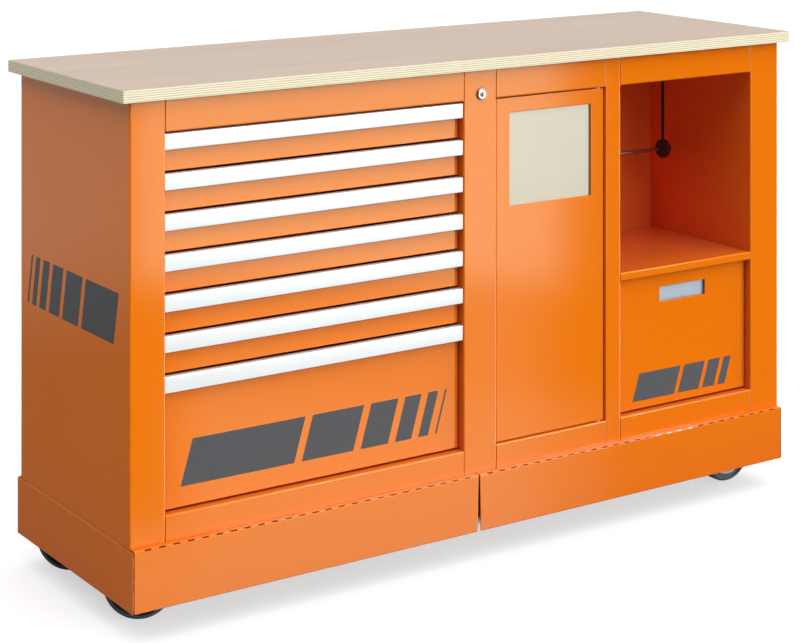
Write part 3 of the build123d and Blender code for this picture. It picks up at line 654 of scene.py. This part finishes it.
def floor_material():
    """A pale matt floor, lifted to white except near the cabinet; under the cabinet its colour is a painted
    red-brown shade, standing in for shadow and the paint's bounce.

    Reflections pass through the open floor, so that the panels below the horizon show in them.
    """
    s = Paint("studio_floor")
    spot = s.axes(s.place)
    shade_x = s.window(spot["X"], body_left + 0.14, body_right + 0.13, 30 * MM)
    shade_y = s.window(spot["Y"], body_front + 0.16, body_back + 0.10, 30 * MM)
    open_air = s.math("SUBTRACT", 1.0, s.math("MULTIPLY", shade_x, shade_y))
    # Painted shade: a red-brown floor colour under the cabinet's footprint, for shadow and the paint's
    # bounce.
    painted_shade_x = s.window(spot["X"], body_left + 0.05, body_right - 0.02, 20 * MM)
    painted_shade_y = s.window(spot["Y"], body_front + 0.16, body_back - 0.02, 20 * MM)
    tone = s.blend(s.math("MULTIPLY", painted_shade_x, painted_shade_y), grey(0.93), colour(0.30, 0.10, 0.05))
    lit = s.add("ShaderNodeBsdfDiffuse", Color=tone).outputs["BSDF"]
    white = s.add("ShaderNodeEmission", Color=grey(1.0), Strength=1.08).outputs["Emission"]
    seen = s.mix_of(s.math("MULTIPLY", open_air, floor_lift), lit, white)
    bounce = s.add("ShaderNodeBsdfDiffuse", Color=grey(0.25)).outputs["BSDF"]
    clear = s.add("ShaderNodeBsdfTransparent").outputs["BSDF"]
    rays = s.add("ShaderNodeLightPath").outputs
    matt = s.mix_of(rays["Is Camera Ray"], bounce, seen)
    s.show(s.mix_of(s.math("MULTIPLY", rays["Is Glossy Ray"], open_air), matt, clear))
    return s.material


def floor():
    """A square far wider than the object, at the frame's ground level."""
    data = bpy.data.meshes.new("studio_floor")
    corners = [(-floor_reach, -floor_reach, 0), (floor_reach, -floor_reach, 0),
               (floor_reach, floor_reach, 0), (-floor_reach, floor_reach, 0)]
    data.from_pydata(corners, [], [(0, 1, 2, 3)])
    data.materials.append(floor_material())
    piece = bpy.data.objects.new("studio_floor", data)
    bpy.context.scene.collection.objects.link(piece)


# Light panels round the object: azimuth from the front towards the right, elevation above the
# horizon, width of the soft edge, all in degrees, and strength.
panels = [
    ((-180, 180), (40, 90), 8, 1.98),        # the whole sky overhead
    ((27.9, 37.6), (-90, -13.2), 0.9, 1.0),  # sheen on the lower part of the front
    ((26.6, 38.2), (-13.2, 4), 0.6, 3.6),    # stronger sheen on its upper part
    ((27.9, 39.3), (-90, -16.2), 0.6, 0.75),  # some more towards the skirt
    ((20.0, 27.9), (-90, -19.3), 0.6, 1.3),  # sheen on the skirt's left end
    ((28.5, 42.0), (6, 23), 1.5, 16.0),      # small bright box that rounded edges mirror
    ((-8, 26), (12, 45), 5, 3.2),            # large soft box before the front
    ((60, 82), (-26, -3), 3, 9.0),           # low strip on the right that satin metal mirrors
    ((60, 120), (0, 38), 6, 1.6),            # fill from the right
    ((-180, -135), (-13.5, 30), 2, 0.42),    # sheen on the upper part of the left side
    ((-180, -100), (-90, 30), 4, 0.12),      # faint sheen on the whole left side
]
ambient = 0.05
full_circle = 360


def sky():
    """The panels on a dim sky, which the camera itself sees as plain white."""
    world = bpy.data.worlds.new("studio")
    bpy.context.scene.world = world
    s = Shader(world, "ShaderNodeOutputWorld")

    def background(strength):
        return s.add("ShaderNodeBackground", Color=grey(1.0), Strength=strength).outputs[0]

    toward = s.axes(s.add("ShaderNodeTexCoord").outputs["Generated"])
    azimuth = s.math("DEGREES", s.math("ARCTAN2", toward["X"], s.math("MULTIPLY", toward["Y"], -1.0)))
    elevation = s.math("DEGREES", s.math("ARCSINE", toward["Z"]))
    lights = background(ambient)
    for across, up, soft, strength in panels:
        share = s.window(elevation, up[0], up[1], soft)
        if across[1] - across[0] < full_circle:
            share = s.math("MULTIPLY", share, s.window(azimuth, across[0], across[1], soft))
        lights = s.sum_of(lights, background(s.math("MULTIPLY", share, strength)))
    seen_by_camera = s.add("ShaderNodeLightPath").outputs["Is Camera Ray"]
    s.show(s.mix_of(seen_by_camera, lights, background(1.0)))


# The camera's place from the body's left front lower corner, in body widths, and its turn and lens
camera_left, camera_before, camera_above = 1.0736, 2.1499, 0.8661
camera_yaw = 33.83
camera_lens = 95.03
camera_drop = -0.6726


def camera():
    """A level camera left of the front, shifted down so that upright edges stay upright."""
    data = bpy.data.cameras.new("camera")
    cam = bpy.data.objects.new("camera", data)
    bpy.context.scene.collection.objects.link(cam)
    bpy.context.scene.camera = cam
    cam.location = (body_left - camera_left * body_width, body_front - camera_before * body_width,
                    body_bottom + camera_above * body_width)
    cam.rotation_euler = (math.pi / 2, 0, -math.radians(camera_yaw))
    data.sensor_width = 36.0
    data.lens = camera_lens
    data.clip_end = 200.0
    shift_only_here(cam, data)


def shift_only_here(cam, data):
    """The downward shift belongs to this viewpoint: it drops out if the camera is moved elsewhere."""
    driver = data.driver_add("shift_y").driver
    driver.type = "SCRIPTED"
    here = driver.variables.new()
    here.name = "here"
    here.type = "TRANSFORMS"
    here.targets[0].id = cam
    here.targets[0].transform_type = "LOC_X"
    here.targets[0].transform_space = "WORLD_SPACE"
    driver.expression = f"{camera_drop} if abs(here - {cam.location.x:.6f}) < 0.001 else 0.0"


floor()
sky()
camera()

view = bpy.context.scene.view_settings
view.view_transform = "Standard"
view.look = "None"
view.exposure = 0.0
